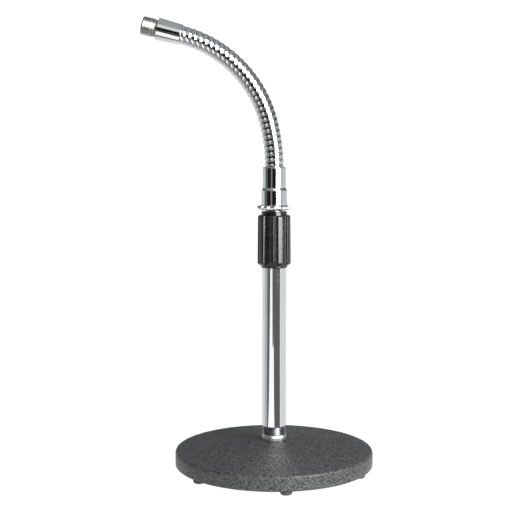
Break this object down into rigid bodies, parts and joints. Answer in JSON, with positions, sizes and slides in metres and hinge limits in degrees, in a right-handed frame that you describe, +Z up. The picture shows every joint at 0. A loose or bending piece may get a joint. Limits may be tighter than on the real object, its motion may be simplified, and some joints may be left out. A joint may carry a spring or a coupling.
{
  "type": "gooseneck microphone stand",
  "caption": "Desktop microphone stand with a heavy round base, a telescopic mast held by a twist clutch, and a bendable steel gooseneck ending in a threaded stud.",
  "frame": {"origin": "on the mast's axis, in the plane that the six rubber feet rest on", "axes": "+Z up along the mast; the gooseneck leans over towards -X in the XZ plane"},
  "size_m": [0.2015, 0.1732, 0.3928],
  "materials": {
    "textured_black": "wrinkle-textured black enamel",
    "rubber": "matt moulded rubber",
    "zinc": "zinc plated",
    "turned_steel": "dull turned steel",
    "bright_ring": "bright turned nickel",
    "chrome": "mirror chrome",
    "grip_black": "fine pebbled black, half gloss",
    "nylon": "natural nylon"
  },
  "bodies": {
    "stand": {"base_casting": "textured_black", "rubber_feet": "rubber", "base_washer": "zinc", "base_nut": "zinc", "foot_plug": "turned_steel", "foot_ring": "bright_ring", "outer_tube": "chrome", "clutch_seat": "turned_steel", "clutch_collet": "nylon", "clutch_washer": "zinc"},
    "clutch": {"clutch_grip": "grip_black"},
    "guide": {"guide_bush": "nylon"},
    "mast": {"inner_tube": "chrome", "mast_stud": "turned_steel", "lower_coupling": "chrome", "lower_ferrule": "chrome", "gooseneck_link_00": "chrome"},
    "lock_ring": {"lock_ring": "chrome"},
    "neck_01": {"gooseneck_link_01": "chrome"},
    "neck_02": {"gooseneck_link_02": "chrome"},
    "neck_03": {"gooseneck_link_03": "chrome"},
    "neck_04": {"gooseneck_link_04": "chrome"},
    "neck_05": {"gooseneck_link_05": "chrome"},
    "neck_06": {"gooseneck_link_06": "chrome"},
    "neck_07": {"gooseneck_link_07": "chrome"},
    "neck_08": {"gooseneck_link_08": "chrome"},
    "neck_09": {"gooseneck_link_09": "chrome"},
    "neck_10": {"gooseneck_link_10": "chrome"},
    "neck_11": {"gooseneck_link_11": "chrome"},
    "neck_12": {"gooseneck_link_12": "chrome"},
    "neck_13": {"gooseneck_link_13": "chrome"},
    "neck_14": {"gooseneck_link_14": "chrome"},
    "neck_tip": {"gooseneck_link_15": "chrome", "upper_ferrule": "chrome", "tip_stud": "turned_steel"}
  },
  "joints": [
    {"name": "clutch_turn", "type": "hinge", "parent": "stand", "child": "clutch", "pos_m": [0, 0, 0.2], "axis": [0, 0, 1], "range_deg": [0, 270]},
    {"name": "mast_slide", "type": "slide", "parent": "stand", "child": "guide", "axis": [0, 0, 1], "range_m": [0, 0.1016]},
    {"name": "mast_swivel", "type": "hinge", "parent": "guide", "child": "mast", "pos_m": [0, 0, 0.15], "axis": [0, 0, 1], "continuous": true},
    {"name": "lock_ring_turn", "type": "hinge", "parent": "mast", "child": "lock_ring", "pos_m": [0, 0, 0.229], "axis": [0, 0, 1], "range_deg": [0, 270]},
    {"name": "neck_bend_01", "type": "hinge", "parent": "mast", "child": "neck_01", "pos_m": [-0.00008, 0, 0.269], "axis": [0, -1, 0], "range_deg": [-5, 3.6]},
    {"name": "neck_sway_02", "type": "hinge", "parent": "neck_01", "child": "neck_02", "pos_m": [-0.00074, 0, 0.27898], "axis": [0.9952, 0, 0.098], "range_deg": [-12, 12]},
    {"name": "neck_bend_03", "type": "hinge", "parent": "neck_02", "child": "neck_03", "pos_m": [-0.00204, 0, 0.28889], "axis": [0, -1, 0], "range_deg": [-5, 3.6]},
    {"name": "neck_bend_04", "type": "hinge", "parent": "neck_03", "child": "neck_04", "pos_m": [-0.00399, 0, 0.29869], "axis": [0, -1, 0], "range_deg": [-5, 3.6]},
    {"name": "neck_sway_05", "type": "hinge", "parent": "neck_04", "child": "neck_05", "pos_m": [-0.00662, 0, 0.30834], "axis": [0.9523, 0, 0.3052], "range_deg": [-12, 12]},
    {"name": "neck_bend_06", "type": "hinge", "parent": "neck_05", "child": "neck_06", "pos_m": [-0.01013, 0, 0.3177], "axis": [0, -1, 0], "range_deg": [-8.7, 6.26]},
    {"name": "neck_bend_07", "type": "hinge", "parent": "neck_06", "child": "neck_07", "pos_m": [-0.01452, 0, 0.32668], "axis": [0, -1, 0], "range_deg": [-8.7, 6.26]},
    {"name": "neck_sway_08", "type": "hinge", "parent": "neck_07", "child": "neck_08", "pos_m": [-0.01976, 0, 0.33519], "axis": [0.825, 0, 0.5651], "range_deg": [-12, 12]},
    {"name": "neck_bend_09", "type": "hinge", "parent": "neck_08", "child": "neck_09", "pos_m": [-0.02581, 0, 0.34315], "axis": [0, -1, 0], "range_deg": [-8.7, 6.26]},
    {"name": "neck_bend_10", "type": "hinge", "parent": "neck_09", "child": "neck_10", "pos_m": [-0.03259, 0, 0.3505], "axis": [0, -1, 0], "range_deg": [-8.7, 6.26]},
    {"name": "neck_sway_11", "type": "hinge", "parent": "neck_10", "child": "neck_11", "pos_m": [-0.04005, 0, 0.35715], "axis": [0.6287, 0, 0.7776], "range_deg": [-12, 12]},
    {"name": "neck_bend_12", "type": "hinge", "parent": "neck_11", "child": "neck_12", "pos_m": [-0.04812, 0, 0.36305], "axis": [0, -1, 0], "range_deg": [-8.7, 6.26]},
    {"name": "neck_bend_13", "type": "hinge", "parent": "neck_12", "child": "neck_13", "pos_m": [-0.05672, 0, 0.36815], "axis": [0, -1, 0], "range_deg": [-8.7, 6.26]},
    {"name": "neck_sway_14", "type": "hinge", "parent": "neck_13", "child": "neck_14", "pos_m": [-0.06577, 0, 0.37238], "axis": [0.3798, 0, 0.9251], "range_deg": [-12, 12]},
    {"name": "neck_bend_15", "type": "hinge", "parent": "neck_14", "child": "neck_tip", "pos_m": [-0.07519, 0, 0.37573], "axis": [0, -1, 0], "range_deg": [-8.7, 6.26]}
  ],
  "couplings": [
    {"joint": "neck_bend_03", "follows": "neck_bend_01", "ratio": 1},
    {"joint": "neck_bend_04", "follows": "neck_bend_01", "ratio": 1},
    {"joint": "neck_sway_05", "follows": "neck_sway_02", "ratio": 1},
    {"joint": "neck_bend_06", "follows": "neck_bend_01", "ratio": 1.74},
    {"joint": "neck_bend_07", "follows": "neck_bend_01", "ratio": 1.74},
    {"joint": "neck_sway_08", "follows": "neck_sway_02", "ratio": 1},
    {"joint": "neck_bend_10", "follows": "neck_bend_09", "ratio": 1},
    {"joint": "neck_sway_11", "follows": "neck_sway_02", "ratio": 1},
    {"joint": "neck_bend_12", "follows": "neck_bend_09", "ratio": 1},
    {"joint": "neck_bend_13", "follows": "neck_bend_09", "ratio": 1},
    {"joint": "neck_sway_14", "follows": "neck_sway_02", "ratio": 1},
    {"joint": "neck_bend_15", "follows": "neck_bend_09", "ratio": 1}
  ]
}
